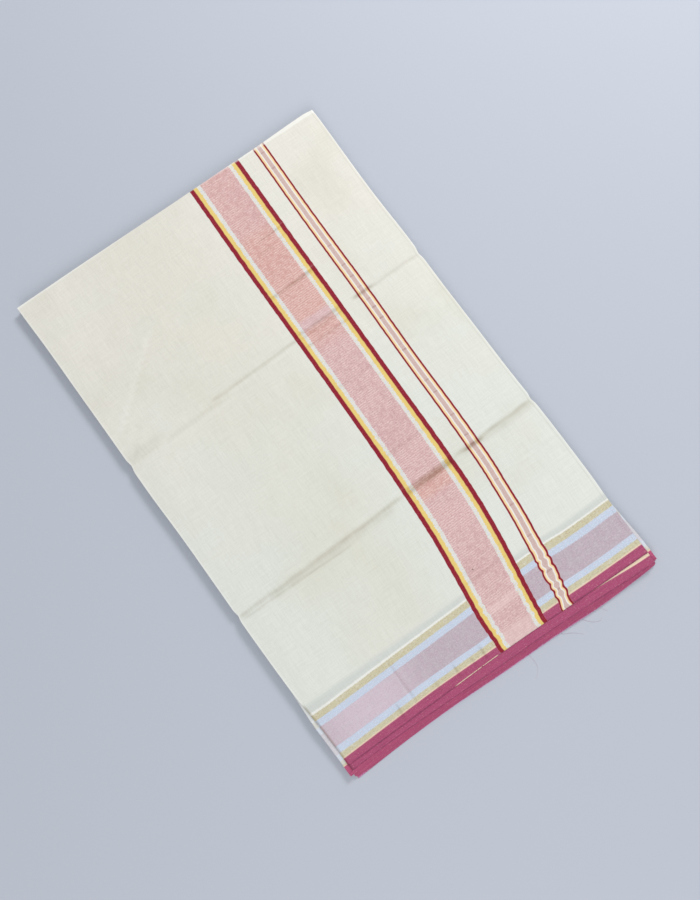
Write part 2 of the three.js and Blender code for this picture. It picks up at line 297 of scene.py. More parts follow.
# How far from those places that holds, and how far apart the rows and columns lie
FINE_CREASE_REACH = 3.4
PUCKER_REACH = 4
SIDE_STRIP = 12
ROW_GAP = 4.5
BORDER_ROW_GAP = 1.9
FAR_ROW_GAP = 3.0
MAIN_CREASE_GAP = 1.3
FINE_CREASE_GAP = 1.2
COLUMN_GAP = 2.9
SIDE_COLUMN_GAP = 1.3
PUCKER_GAP = 0.9
SECOND_ROW_GAP = 1.6
SECOND_ROWS = 13
FIRST_STATION = 78
LAST_STATION = 24

# Loose threads at the near edge: x, y along each on the floor, from the frame's middle
THREADS = (
    ((93.2, -298.6), (94.4, -301.6), (99.9, -308.1), (104.6, -310.9), (108.1, -312.1), (109.9, -310.4)),
    ((115.0, -299.9), (115.4, -302.7), (117.6, -305.7), (119.4, -309.0)),
    ((67.6, -297.2), (68.8, -300.2), (77.7, -305.6), (82.4, -309.6), (85.8, -313.1)),
    ((29.0, -295.8), (29.1, -299.2), (29.4, -306.4), (28.1, -312.2), (24.2, -317.0), (19.5, -319.5)),
)
THREAD_WIDTH = 0.26
THREAD_TAPER = 0.45
STEPS_PER_STRETCH = 6


def lerp(a, b, share):
    return a + (b - a) * share


def smooth(value, low, high):
    t = min(max((value - low) / (high - low), 0.0), 1.0)
    return t * t * (3 - 2 * t)


def along(rows, column, at):
    """Value of one column of a table at a place, on a smooth curve through its rows."""
    last = len(rows) - 1

    def slope(i):
        before, after = rows[max(i - 1, 0)], rows[min(i + 1, last)]
        return (after[column] - before[column]) / (after[0] - before[0])

    i = 0
    while i < last - 1 and at > rows[i + 1][0]:
        i += 1
    span = rows[i + 1][0] - rows[i][0]
    t = min(max((at - rows[i][0]) / span, 0.0), 1.0)
    t2 = t * t
    t3 = t2 * t
    start = (2 * t3 - 3 * t2 + 1) * rows[i][column] + (t3 - 2 * t2 + t) * span * slope(i)
    end = (3 * t2 - 2 * t3) * rows[i + 1][column] + (t3 - t2) * span * slope(i + 1)
    return start + end


def between(value, stops, places):
    """Carries a value from one rising list of stops to another, in straight steps."""
    i = 0
    while i < len(stops) - 2 and value > stops[i + 1]:
        i += 1
    share = (value - stops[i]) / (stops[i + 1] - stops[i])
    return lerp(places[i], places[i + 1], share)


def crease_share(crease, share, y):
    """1 on a main crease, part of the way across the pack, and 0 away from it."""
    off = (y - lerp(crease.left, crease.right, share)) / crease.width
    return math.exp(-off * off)


def side(column, y):
    """X of the pack's outline on one side, nipped in where the main creases reach it."""
    share = 0 if column == LEFT else 1
    inward = 1 if column == LEFT else -1
    nip = LOWER_CREASE.nip * crease_share(LOWER_CREASE, share, y)
    nip += UPPER_CREASE.nip * crease_share(UPPER_CREASE, share, y)
    return along(SIDES, column, y) + inward * nip


def pack_share(x):
    return (x - ENDS[0][0]) / (ENDS[-1][0] - ENDS[0][0])


def pack_height(x, y):
    """Top of the pack, thinner towards its folds and selvedges, dented along the creases."""
    share = pack_share(x)
    to_side = min(x - side(LEFT, y), side(RIGHT, y) - x)
    to_far = along(ENDS, FAR_END, x) - y
    from_fold = smooth(min(to_side, to_far), 0, FOLD_DROP_WIDTH)
    towards_near = 1 - smooth(y, NEAR_DROP_END, NEAR_DROP_START)
    swell = math.sin(2 * math.pi * y / SWELL_LENGTH) * math.cos(2 * math.pi * x / SWELL_WIDTH)
    height = PACK_HEIGHT - FOLD_DROP * (1 - from_fold) - NEAR_DROP * towards_near
    height -= LOWER_CREASE.depth * crease_share(LOWER_CREASE, share, y)
    height -= UPPER_CREASE.depth * crease_share(UPPER_CREASE, share, y)
    return height + SWELL * swell * from_fold


def ply_height(ply, x, y):
    """Middle of a ply, counted from 0 at the top to 31 at the bottom, which lies flat."""
    share = (PLIES - 1 - ply) / (PLIES - 1)
    soft = SOFTNESS * noise.noise(Vector((x / 46, y / 62, 1.7)))
    opened = sum(gap for below, gap in SHELVES if ply < below)
    opened *= 1 - smooth(y, SHELF_END, SHELF_START)
    return PLY / 2 + (pack_height(x, y) - PLY) * share + soft * share * 0.9 ** ply + opened


def ply_pitch(x, y):
    return (pack_height(x, y) - PLY) / (PLIES - 1)


def along_lines(lines, x, y, uneven_by):
    """Sum of what a table of creases gives at a place, each fading out at its ends."""
    total = 0.0
    for x0, y0, x1, y1, amount, width in lines:
        reach = 3 * width + 2
        near_x = min(x0, x1) - reach < x < max(x0, x1) + reach
        near_y = min(y0, y1) - reach < y < max(y0, y1) + reach
        if near_x and near_y:
            length = math.hypot(x1 - x0, y1 - y0)
            ax, ay = (x1 - x0) / length, (y1 - y0) / length
            at = (x - x0) * ax + (y - y0) * ay
            wander = CREASE_WANDER * noise.noise(Vector((at / 14, x0 * 0.3, y0 * 0.3)))
            off = (x - x0) * ay - (y - y0) * ax + wander
            fade = smooth(at, -2, CREASE_FADE) * (1 - smooth(at, length - CREASE_FADE, length + 2))
            uneven = 1 + uneven_by * noise.noise(Vector((at / 16, y0, x0 + 4.0)))
            total += amount * uneven * fade * math.exp(-(off / width) ** 2)
    return total


def band_height(x, y):
    """The narrow band is woven a little thicker than the ground."""
    left, right = along(BANDS, 2, y), along(BANDS, 1, y)
    inside = smooth(x, left - 1.5, left + 2) * (1 - smooth(x, right - 2, right + 1.5))
    return BAND_THICKENING * inside


# How the panels follow each other: panel 0 runs from the cut end at the right to the left fold
def fold_after(panel):
    """The fold line at the end of a panel, on the left after an even one."""
    return LEFT_FOLDS[panel // 2] if panel % 2 == 0 else RIGHT_FOLDS[(panel + 1) // 2]


def fold_before(panel):
    return RIGHT_FOLDS[panel // 2] if panel % 2 == 0 else LEFT_FOLDS[panel // 2]


def fold_x(fold, y):
    """X of a fold line or cut end at one place along it."""
    on_left = fold in LEFT_FOLDS
    inward = 1 if on_left else -1
    if fold in (LEFT_FOLDS[-1], RIGHT_FOLDS[-1]):
        near, far = LOWEST_LEFT if on_left else LOWEST_RIGHT
        first, last = ENDS[0][LOWEST_END], ENDS[0][FAR_END]
        return lerp(near, far, (y - first) / (last - first)) + inward * fold[INSET]
    most, start, full = PEEP_LEFT if on_left else PEEP_RIGHT
    peep = most * fold[PEEP] * (1 - smooth(y, full, start))
    waver = 0.0
    if fold not in (RIGHT_FOLDS[0], LEFT_FOLDS[0]):
        waver = FOLD_WAVER * noise.noise(Vector((y / WAVER_LENGTH, fold[FIRST] * 3.1, 7.0)))
    return side(LEFT if on_left else RIGHT, y) + inward * (fold[INSET] + waver - peep)


def panel_end(panel, end, share, x):
    """Y of a panel's first or other selvedge, or of its half fold, part of the way along it."""
    if panel == 0 and end != HALF_FOLD:
        return along(ENDS, TOP_END if end == FIRST else SECOND_END, x)
    inset = 0.0
    if panel > 0:
        inset = lerp(fold_before(panel)[end], fold_after(panel)[end], share)
    if end == HALF_FOLD:
        return along(ENDS, FAR_END, x) - FAR_TURN - inset
    bow = UPPER_BOW if panel < UPPER_PANELS else LOWER_BOW if panel < PANELS - 1 else 0
    return along(ENDS, LOWEST_END, x) + inset + bow * math.sin(math.pi * share)


def stations(near, far, across):
    """Y of the lines that the rows of a sheet keep to, from its selvedge to its half fold."""
    low = lerp(LOWER_CREASE.left, LOWER_CREASE.right, across)
    high = lerp(UPPER_CREASE.left, UPPER_CREASE.right, across)
    return (
        near, near + FIRST_STATION, low - CREASE_REACH, low + CREASE_REACH,
        high - CREASE_REACH, high + CREASE_REACH, far - LAST_STATION, far,
    )


def row_y(near, far, across, row):
    span, part = row
    lines = stations(near, far, across)
    return lerp(lines[span], lines[span + 1], part)


def edge_lift(half, x, y, near):
    """The two upper selvedges stand up a little, unevenly."""
    from_edge = y - near
    if half == "front":
        return TOP_LIFT * math.exp(-from_edge / 3.5)
    uneven = 1 + 0.7 * noise.noise(Vector((x / 21, 2.0, 9.0)))
    return SECOND_LIFT * uneven * math.exp(-from_edge / 3.0)


def cloth_point(column, row):
    """Where a point of the folded cloth lies, its place on the cloth laid out flat, and its tone, the
    painted shade or highlight of the creases there.

    A column is a panel, how far along it in the order of folding, and how far round the fold
    after it. A row is the half of the cloth, or the turn between the halves, and a place there.
    """
    panel, share, turn = column
    half, at = row
    even = panel % 2 == 0
    across = 1 - share if even else share

    # 1 on the first half of the cloth, -1 on the other, and between them round the half fold
    lean = math.cos(at) if half == "turn" else 1.0 if half == "front" else -1.0
    edge = OTHER if half == "back" else FIRST
    x = lerp(ENDS[0][0], ENDS[-1][0], across)
    for _ in range(2):
        near, far = panel_end(panel, edge, share, x), panel_end(panel, HALF_FOLD, share, x)
        y = far if half == "turn" else row_y(near, far, across, at)
        start, end = fold_x(fold_before(panel), y), fold_x(fold_after(panel), y)
        x = lerp(start, end, share)

    pitch = ply_pitch(x, y)
    ply = 2 * panel + 0.5 + (-0.5 if even else 0.5) * lean
    reach = 0.5 * math.sqrt(max(1 - lean * lean, 0)) * pitch * FOLD_FULLNESS
    roll = 0.0
    if turn > 0:
        centre = 2 * panel + 1.5
        arm = centre - ply
        ply = centre - arm * math.cos(turn)
        roll = arm * pitch * math.sin(turn) * FOLD_FULLNESS * (-1 if even else 1)
    z = ply_height(ply, x, y)
    tone = 0.0
    if panel == 0 and turn == 0 and half != "turn":
        z += edge_lift(half, x, y, near)
        if half == "front":
            z += along_lines(CREASES, x, y, 0.5) + band_height(x, y)
            z += RUMPLE * noise.noise(Vector((x / 11, y / 15, 5.0))) ** 2
            # tone is painted shade along the creases, or painted highlight where it is below 0
            tone = along_lines(CREASE_SHADE_LINES, x, y, 0.6)

    length = (panel + share) * PANEL_WIDTH + (panel + turn / math.pi) * FOLD_LENGTH
    if panel == 0 and turn == 0:
        stops = [-start] + [-along(BANDS, i, y) for i in (1, 2, 3, 4)] + [-end]
        length = between(-x, stops, (0.0, *BAND_PLACES, PANEL_WIDTH))
    first_edge = panel_end(panel, FIRST, share, x)
    if half == "front":
        width = y - near
        if panel == 0:
            stops = [near] + [along(BORDER, i, x) for i in range(1, 9)] + [far]
            width = between(y, stops, (0.0, *BORDER_PLACES, far - near))
    elif half == "turn":
        width = far - first_edge + at / math.pi
    else:
        stops = (0, SECOND_STRIP, far - near)
        places = (CLOTH_WIDTH, CLOTH_WIDTH - SECOND_STRIP, far - first_edge + 1)
        width = between(y - near, stops, places)
    return (x + roll, y + reach, z), (length, width), tone


def sheet(name, columns, rows):
    """One sheet of cloth: a flat grid, each point then moved to where it lies in the pack."""
    mesh = bpy.data.meshes.new(name)
    cloth = bmesh.new()
    wide, long = len(columns) - 1, len(rows) - 1
    bmesh.ops.create_grid(cloth, x_segments=wide, y_segments=long, size=1.0)
    flat = cloth.loops.layers.uv.new("cloth")
    # the tone layer carries the painted shade and highlight of the creases
    crease_shade_layer = cloth.verts.layers.float.new("tone")
    laid = {}
    for vert in cloth.verts:
        column = columns[round((vert.co.x + 1) / 2 * wide)]
        row = rows[round((vert.co.y + 1) / 2 * long)]
        (x, y, z), (length, width), tone = cloth_point(column, row)
        vert.co = ((x + SHIFT[0]) * MM, (y + SHIFT[1]) * MM, z * MM)
        vert[crease_shade_layer] = tone
        laid[vert] = (length * MM, width * MM)
    for face in cloth.faces:
        face.smooth = True
        for loop in face.loops:
            loop[flat].uv = laid[loop.vert]
    cloth.to_mesh(mesh)
    cloth.free()
    piece = bpy.data.objects.new(name, mesh)
    bpy.context.collection.objects.link(piece)
    wall = piece.modifiers.new("cloth", "SOLIDIFY")
    wall.thickness = PLY * MM
    wall.offset = 0
    return piece


def spaced(low, high, gap):
    """Places from low to high, as far apart as gap says at each one."""
    places = [low]
    while places[-1] < high:
        places.append(places[-1] + gap(places[-1]))
    stretch = (high - low) / (places[-1] - low)
    return [low + (place - low) * stretch for place in places]


def row_gap(y):
    """Rows of the top ply lie closer where it is creased or bordered."""
    gap = ROW_GAP
    if y < BORDER_END:
        gap = BORDER_ROW_GAP
    if y > FAR_ROLL_START:
        gap = FAR_ROW_GAP
    if any(abs(y - at) < CREASE_REACH for at in MAIN_CREASES):
        gap = MAIN_CREASE_GAP
    if any(abs(y - at) < FINE_CREASE_REACH for at in BAND_CREASES):
        gap = FINE_CREASE_GAP
    return gap


def share_gap(share):
    """Columns of the top ply lie closer at its two edges and at the puckers in the border."""
    gap = COLUMN_GAP
    if min(share, 1 - share) * PANEL_WIDTH < SIDE_STRIP:
        gap = SIDE_COLUMN_GAP
    x = lerp(SIDES[0][RIGHT], SIDES[0][LEFT], share)
    if any(abs(x - at) < PUCKER_REACH for at in PUCKERS):
        gap = PUCKER_GAP
    return gap / PANEL_WIDTH


def fine_rows():
    near, far = along(ENDS, TOP_END, BAND_X), along(ENDS, FAR_END, BAND_X)
    lines = stations(near, far, pack_share(BAND_X))
    rows = []
    for y in spaced(lines[0], lines[-1], row_gap):
        span = max(i for i in range(len(lines) - 1) if y >= lines[i] or i == 0)
        rows.append((span, min((y - lines[span]) / (lines[span + 1] - lines[span]), 1.0)))
    return rows


def coarse_rows():
    """Rows of the plies under the top one: how many between each station and the next."""
    counts = (7, 3, 11, 4, 11, 4, 4)
    rows = [(span, i / count) for span, count in enumerate(counts) for i in range(count)]
    return rows + [(len(counts) - 1, 1.0)]


def second_rows():
    """Rows of the second ply, closer together on the strip of it that shows."""
    strip = [(0, i * SECOND_ROW_GAP / FIRST_STATION) for i in range(SECOND_ROWS)]
    strip_end = SECOND_ROWS * SECOND_ROW_GAP / FIRST_STATION
    return strip + [row for row in coarse_rows() if row > (0, strip_end)]


def front(rows):
    return [("front", row) for row in rows]


def far_turn(steps):
    return [("turn", math.pi * i / steps) for i in range(1, steps)]


def back(rows):
    return [("back", row) for row in reversed(rows)]


def panel_columns(panel, shares, turns):
    """Places along a panel, and round the fold after it."""
    columns = [(panel, share, 0.0) for share in shares]
    return columns + [(panel, 1.0, math.pi * i / turns) for i in range(1, turns + 1)]


coarse_shares = [0, 0.008, 0.022, 0.042, 0.07] + [0.07 + 0.86 * i / 16 for i in range(1, 16)]
coarse_shares += [0.93, 0.958, 0.978, 0.992, 1.0]
fine_shares = spaced(0.0, 1.0, share_gap)
all_coarse = front(coarse_rows()) + far_turn(4) + back(coarse_rows())

top_panel = sheet(
    "top_panel", panel_columns(0, fine_shares, 8), front(fine_rows()) + far_turn(8)
)
middle_shares = [i / 60 for i in range(61)]
second_ply = sheet(
    "second_ply", panel_columns(0, middle_shares, 8), far_turn(8)[-1:] + back(second_rows())
)
hidden_columns = panel_columns(1, coarse_shares, 6)
for panel in range(2, PANELS - 1):
    hidden_columns += panel_columns(panel, coarse_shares, 6)[1:]
hidden_panels = sheet("hidden_panels", hidden_columns, all_coarse)
underside_panel = sheet(
    "underside_panel", [(PANELS - 1, share, 0.0) for share in coarse_shares], all_coarse
)


def curve_through(path):
    """Points on a smooth curve through the places of a thread."""
    points = []
    for i in range(len(path) - 1):
        before, a, b = path[max(i - 1, 0)], path[i], path[i + 1]
        after = path[min(i + 2, len(path) - 1)]
        for step in range(STEPS_PER_STRETCH):
            t = step / STEPS_PER_STRETCH
            points.append(Vector([
                0.5 * (2 * p1 + (p2 - p0) * t + (2 * p0 - 5 * p1 + 4 * p2 - p3) * t * t
                       + (3 * p1 - p0 - 3 * p2 + p3) * t ** 3)
                for p0, p1, p2, p3 in zip(before, a, b, after)
            ]))
    return points + [Vector(path[-1])]


def loose_thread(name, path):
    """A frayed thread lying on the floor, round in section and thinner at its tip."""
    mesh = bpy.data.meshes.new(name)
    thread = bmesh.new()
    points = curve_through(path)
    last = len(points) - 1
    rings = []
    for i, point in enumerate(points):
        ahead = (points[min(i + 1, last)] - points[max(i - 1, 0)]).normalized()
        radius = THREAD_WIDTH / 2 * (1 - THREAD_TAPER * i / last)
        turned = Matrix(((ahead.y, 0, ahead.x), (-ahead.x, 0, ahead.y), (0, 1, 0)))
        spot = Vector((point.x, point.y, radius)) * MM
        ring = bmesh.ops.create_circle(
            thread, cap_ends=i in (0, last), segments=8, radius=radius * MM,
            matrix=Matrix.Translation(spot) @ turned.to_4x4(),
        )
        rings.append(list({edge for vert in ring["verts"] for edge in vert.link_edges}))
    for a, b in zip(rings, rings[1:]):
        bmesh.ops.bridge_loops(thread, edges=a + b)
    bmesh.ops.recalc_face_normals(thread, faces=thread.faces)
    for face in thread.faces:
        face.smooth = True
    thread.to_mesh(mesh)
    thread.free()
    piece = bpy.data.objects.new(name, mesh)
    bpy.context.collection.objects.link(piece)
    return piece


threads = [loose_thread(f"loose_thread_{i + 1}", path) for i, path in enumerate(THREADS)]


class Value:
    """A number that changes over the cloth. Sums written with it add Math nodes."""

    def __init__(self, finish, socket):
        self.finish = finish
        self.socket = socket

    def __add__(self, other):
        return self.finish.math("ADD", self, other)

    __radd__ = __add__

    def __sub__(self, other):
        return self.finish.math("SUBTRACT", self, other)

    def __rsub__(self, other):
        return self.finish.math("SUBTRACT", other, self)

    def __mul__(self, other):
        return self.finish.math("MULTIPLY", self, other)

    __rmul__ = __mul__


class Finish:
    """One finish while its nodes are laid out."""

    def __init__(self, name):
        self.material = bpy.data.materials.new(name)
        self.material.use_nodes = True
        self.tree = self.material.node_tree
        self.tree.nodes.clear()

    def node(self, kind, settings, inputs, output=0):
        """Adds a node, sets it up, then gives its sockets their values or links."""
        node = self.tree.nodes.new(kind)
        for name, value in settings.items():
            if name == "stops":
                ramp = node.color_ramp.elements
                while len(ramp) < len(value):
                    ramp.new(0.5)
                for element, (position, colour) in zip(ramp, value):
                    element.position = position
                    element.color = colour
            else:
                setattr(node, name, value)
        for name, value in inputs.items():
            if isinstance(value, Value):
                self.tree.links.new(value.socket, node.inputs[name])
            else:
                node.inputs[name].default_value = value
        return Value(self, node.outputs[output]) if len(node.outputs) else node

    def math(self, operation, a, b=0.0):
        return self.node("ShaderNodeMath", {"operation": operation}, {0: a, 1: b})

    def ramp(self, value, low, high):
        """0 below low and 1 above high, with a soft step between."""
        return self.node(
            "ShaderNodeMapRange",
            {"interpolation_type": "SMOOTHSTEP"},
            {"Value": value, "From Min": low, "From Max": high},
        )

    def window(self, value, low, high, soft):
        """1 between low and high, and 0 outside."""
        rise = self.ramp(value, low - soft, low + soft)
        fall = self.ramp(value, high - soft, high + soft)
        return rise * (1 - fall)

    def mix(self, share, a, b, blend="MIX"):
        settings = {"data_type": "RGBA", "blend_type": blend, "clamp_factor": True}
        return self.node("ShaderNodeMix", settings, {0: share, 6: a, 7: b}, output=2)

    def noise(self, a, b, seed, detail=2.0, rough=0.5):
        """Uneven from 0 to 1, by two distances already divided by the size of its spots."""
        spot = self.node("ShaderNodeCombineXYZ", {}, {0: a, 1: b, 2: seed})
        inputs = {"Vector": spot, "Scale": 1.0, "Detail": detail, "Roughness": rough}
        return self.node("ShaderNodeTexNoise", {"noise_dimensions": "3D"}, inputs)

    def stripes(self, value, low, high, soft, zones):
        """Colours side by side, each from its own start to the next one's."""
        def place(mm):
            return min(max((mm - low) / (high - low), 0.0), 1.0)

        stops = [(0.0, zones[0][1])]
        for (_, before), (start, colour) in zip(zones, zones[1:]):
            stops.append((place(start - soft), before))
            stops.append((place(start + soft), colour))
        share = (value - low) * (1 / (high - low))
        return self.node("ShaderNodeValToRGB", {"stops": stops}, {0: share})

    def surface(self, **sockets):
        shader = self.node(
            "ShaderNodeBsdfPrincipled", {},
            {name.replace("_", " "): value for name, value in sockets.items()},
        )
        self.node("ShaderNodeOutputMaterial", {}, {"Surface": shader})
        return self.material


def dyed(red, green, blue):
    """A colour as a screen shows it, from 0 to 255, as Blender's linear one."""
    def linear(c):
        c /= 255
        return c / 12.92 if c <= 0.04045 else ((c + 0.055) / 1.055) ** 2.4

    return (linear(red), linear(green), linear(blue), 1.0)


CREAM = dyed(221, 221, 212)
CREAM_WARM = dyed(224, 221, 211)
CREAM_COOL = dyed(218, 221, 213)
CREAM_PATCH = dyed(212, 209, 194)
MAGENTA = dyed(166, 70, 109)
MAGENTA_DEEP = dyed(136, 52, 90)
MAGENTA_PAINTED_LIGHT = dyed(196, 77, 123)
PEACH = dyed(232, 208, 184)
GOLD = dyed(199, 194, 168)
GOLD_GLINT = dyed(222, 212, 160)
GOLD_DEEP = dyed(184, 160, 128)
SILVER = dyed(190, 203, 220)
SILVER_GLINT = dyed(226, 236, 250)
MAUVE = dyed(181, 166, 175)
MAUVE_BRIGHT = dyed(214, 196, 208)
MAUVE_DEEP = dyed(170, 148, 166)
WHITE = dyed(230, 230, 224)
GREY = dyed(205, 208, 203)
MAROON = dyed(138, 0, 36)
YELLOW = dyed(228, 199, 116)
YELLOW_GREEN = dyed(206, 200, 138)
SILVER_WHITE = dyed(226, 222, 216)
ROSE = dyed(205, 168, 169)
ROSE_PEACH = dyed(207, 160, 151)
ROSE_END = dyed(224, 198, 194)
ROSE_BRIGHT = dyed(238, 214, 208)
ROSE_DEEP = dyed(184, 140, 136)
APRICOT = dyed(238, 208, 158)
CORE = dyed(206, 180, 174)
BEAD = dyed(158, 122, 118)
SPECK = dyed(226, 176, 176)
LILAC_HIGHLIGHT = dyed(212, 150, 198)
SELVEDGE_EDGE_SHADE = dyed(116, 42, 76)
STAIN = dyed(96, 70, 64)
FOLD_PALE = dyed(216, 219, 222)
FOLD_HIGHLIGHT = dyed(244, 244, 240)
CREASE_HIGHLIGHT = dyed(255, 255, 252)
SHADE_AND_DRAWN_THREAD = dyed(206, 198, 186)
THREAD_SHADE = dyed(196, 192, 186)
SLUB_SHADE = dyed(170, 168, 162)
THREAD_DARK = dyed(168, 132, 152)
THREAD_PALE = dyed(216, 198, 208)
FLOOR_COLOUR = dyed(184, 189, 199)

# How much wider the magenta is under the first panel, and how much less of that by the cut end
SELVEDGE_EXTRA = 2.6
SLIT_OPENING = 1.6
LAST_PANEL = (PANELS - 1) * (PANEL_WIDTH + FOLD_LENGTH)
THREAD_PITCH = 0.55

# Two small stains: x, y, radius
STAINS = ((33.3, -197.0, 0.9), (66.5, -247.5, 0.8))


class SareeFinish(Finish):
    """The saree's cloth: a cream ground, borders along both selvedges and two cross bands."""

    def __init__(self):
        super().__init__("saree cloth")
        self.find_places()
        self.make_uneven()

    def find_places(self):
        """Where each point lies on the cloth laid out flat, in millimetres."""
        laid = self.node("ShaderNodeUVMap", {"uv_map": "cloth"}, {})
        self.length = self.node("ShaderNodeSeparateXYZ", {}, {0: laid}, output=0) * 1000
        self.width = self.node("ShaderNodeSeparateXYZ", {}, {0: laid}, output=1) * 1000
        self.under = self.ramp(self.length, PANEL_WIDTH + 3, PANEL_WIDTH + 6)
        self.lowest = self.ramp(self.length, LAST_PANEL - 20, LAST_PANEL - 4)
        narrower = (1 - self.ramp(self.length, 4.0, 62.0)) * SLIT_OPENING
        from_first = self.width - self.under * SELVEDGE_EXTRA
        from_other = CLOTH_WIDTH - SELVEDGE_EXTRA + narrower - self.width
        self.edge = self.math("MINIMUM", from_first, from_other)
        self.outer_edge = self.math("MINIMUM", self.width, CLOTH_WIDTH - self.width)
        self.other_edge = self.ramp(self.width, CLOTH_WIDTH - 17, CLOTH_WIDTH - 14)
        half_step = (PANEL_WIDTH + FOLD_LENGTH) / 2
        self.from_fold = self.math("PINGPONG", self.length + FOLD_LENGTH / 2, half_step)
        # painted shade along the creases, and painted highlight where it is below 0
        self.painted_crease_shade = self.node("ShaderNodeAttribute", {"attribute_name": "tone"}, {}, output=2)

    def make_uneven(self):
        """Threads, slubs, specks, slow changes of tone, and where painted glints go."""
        length, width = self.length, self.width
        self.weft = self.noise(length * (1 / 0.9), width * (1 / 24), 1.0, 3.0)
        self.warp = self.noise(length * (1 / 24), width * (1 / 0.9), 2.0, 3.0)
        self.slub = self.noise(length * (1 / 2.4), width * (1 / 60), 3.0)
        self.tone = self.noise(length * (1 / 70), width * (1 / 55), 4.0, 3.0)
        self.blotch = self.noise(length * (1 / 95), width * (1 / 120), 16.0, 2.0)
        self.patch = self.noise(length * (1 / 6), width * (1 / 5), 5.0, 3.0)
        self.speckle = self.noise(length * (1 / 2.2), width * (1 / 1.1), 17.0, 3.0, 0.65)
        self.grain = self.noise(length * (1 / 1.1), width * (1 / 1.1), 6.0, 2.0)
        # where the zari and other threads get painted glints
        self.painted_glint = self.ramp(self.grain, 0.45, 0.7)
        self.light_speck = self.ramp(self.speckle, 0.5, 0.66)
        self.dark_speck = self.ramp(self.speckle, 0.5, 0.36)

    def cream(self):
        warm = self.ramp(self.width, 120, 540) + (self.tone - 0.5) * 1.2
        cream = self.mix(warm, CREAM_COOL, CREAM_WARM)
        cream = self.mix(self.ramp(self.blotch, 0.5, 0.72) * 0.45, cream, CREAM_PATCH)
        return self.mix(self.window(self.length, 175.0, 300.0, 40.0) * 0.28, cream, CREAM_PATCH)

    def border(self, cream):
        """The border that runs along both selvedges, up to the cream."""
        waver = (self.noise(self.length * (1 / 30), 0.0, 7.0) - 0.5) * 1.2
        mottle = (self.grain - 0.5) * 1.6
        at = self.edge + (waver + mottle) * self.window(self.edge, 11, 66, 3)
        self.border_at = at
        border = self.stripes(at, 0, 75, 0.45, (
            (0, MAGENTA), (7.9, PEACH), (9.0, GOLD), (14.2, SILVER), (21.2, MAUVE),
            (46.4, SILVER), (53.4, GOLD), (60.0, WHITE), (62.1, GREY),
        ))
        self.in_gold = self.window(at, 8.6, 14.2, 0.5) + self.window(at, 53.4, 60.0, 0.5)
        self.in_silver = self.window(at, 14.2, 21.2, 0.5) + self.window(at, 46.4, 53.4, 0.5)
        in_mauve = self.window(at, 21.2, 46.4, 0.8)
        # painted glints on the gold, silver and mauve
        border = self.mix(self.in_gold * self.painted_glint * 0.5, border, GOLD_GLINT)
        border = self.mix(self.in_gold * self.ramp(self.patch, 0.5, 0.75) * 0.4, border, SILVER_WHITE)
        border = self.mix(self.in_silver * self.painted_glint * 0.5, border, SILVER_GLINT)
        border = self.mix(in_mauve * self.painted_glint * 0.35, border, MAUVE_BRIGHT)
        border = self.mix(in_mauve * self.window(self.length, 262, 372, 42) * 0.65, border, MAUVE_BRIGHT)
        border = self.mix(in_mauve * self.light_speck * 0.3, border, MAUVE_BRIGHT)
        border = self.mix(in_mauve * self.ramp(self.speckle, 0.5, 0.32) * 0.3, border, MAUVE_DEEP)
        border = self.mix(in_mauve * self.ramp(self.patch, 0.42, 0.66) * 0.14, border, GREY)
        border = self.mix(self.in_silver * self.dark_speck * 0.5, border, MAUVE_BRIGHT)
        border = self.mix(self.in_gold * self.dark_speck * 0.6, border, GOLD_DEEP)
        border = self.mix(self.ramp(at, 66.0, 72.0), border, cream)
        # the border of the lower plies turns paler near their folds
        paler_by_fold = (1 - self.ramp(self.from_fold, 4.0, 7.5)) * self.ramp(at, 9.0, 11.0)
        border = self.mix(paler_by_fold * self.under * 0.6, border, FOLD_PALE)
        by_cut_end = 1 - self.ramp(self.length, 40.0, 130.0)
        other_strip = self.other_edge * by_cut_end * self.window(at, 8.0, 16.0, 0.4)
        return self.mix(other_strip * 0.85, border, PEACH)

    def selvedge(self, border):
        """Magenta at the very edge, painted lighter on the plies below the top two, with paler loops on
        the lowest panel, a painted lilac highlight along its rim, and painted shade along the edges of
        the top two plies.
        """
        length, width = self.length, self.width
        magenta = 1 - self.ramp(self.border_at, 7.5, 8.1)
        # painted light on the magenta of the plies below the top two, against their shade
        border = self.mix(magenta * self.under * 0.6, border, MAGENTA_PAINTED_LIGHT)
        deep = self.ramp(self.noise(length * (1 / 26), width, 8.0, 3.0), 0.42, 0.70)
        border = self.mix(magenta * deep * 0.45, border, MAGENTA_DEEP)
        # painted glints on the magenta
        border = self.mix(magenta * self.painted_glint * 0.12, border, SPECK)
        flecks = self.noise(length * (1 / 2.2), width * (1 / 0.7), 9.0, 1.0)
        flecks = self.ramp(flecks, 0.64, 0.72) * (0.35 + self.lowest * 0.25)
        border = self.mix(magenta * flecks, border, SPECK)
        # painted lilac highlight along the rim of the lowest panel's selvedge
        rim_highlight = (1 - self.ramp(self.outer_edge, 0.7, 1.8)) * self.ramp(self.grain, 0.3, 0.55)
        border = self.mix(rim_highlight * self.lowest * 0.8, border, LILAC_HIGHLIGHT)
        # painted shade along the outer edges of the top two plies' selvedges
        edge_shade = (1 - self.ramp(self.outer_edge, 0.6, 1.2)) * self.ramp(self.patch, 0.3, 0.55)
        border = self.mix(edge_shade * (1 - self.under) * 0.5, border, SELVEDGE_EDGE_SHADE)
        pale_run = (1 - self.ramp(width, 4, 5)) * self.window(length, 160, 220, 4)
        pale_run = pale_run * self.ramp(self.patch, 0.38, 0.5)
        return self.mix((1 - self.ramp(self.outer_edge, 0.5, 0.9)) * pale_run, border, PEACH)

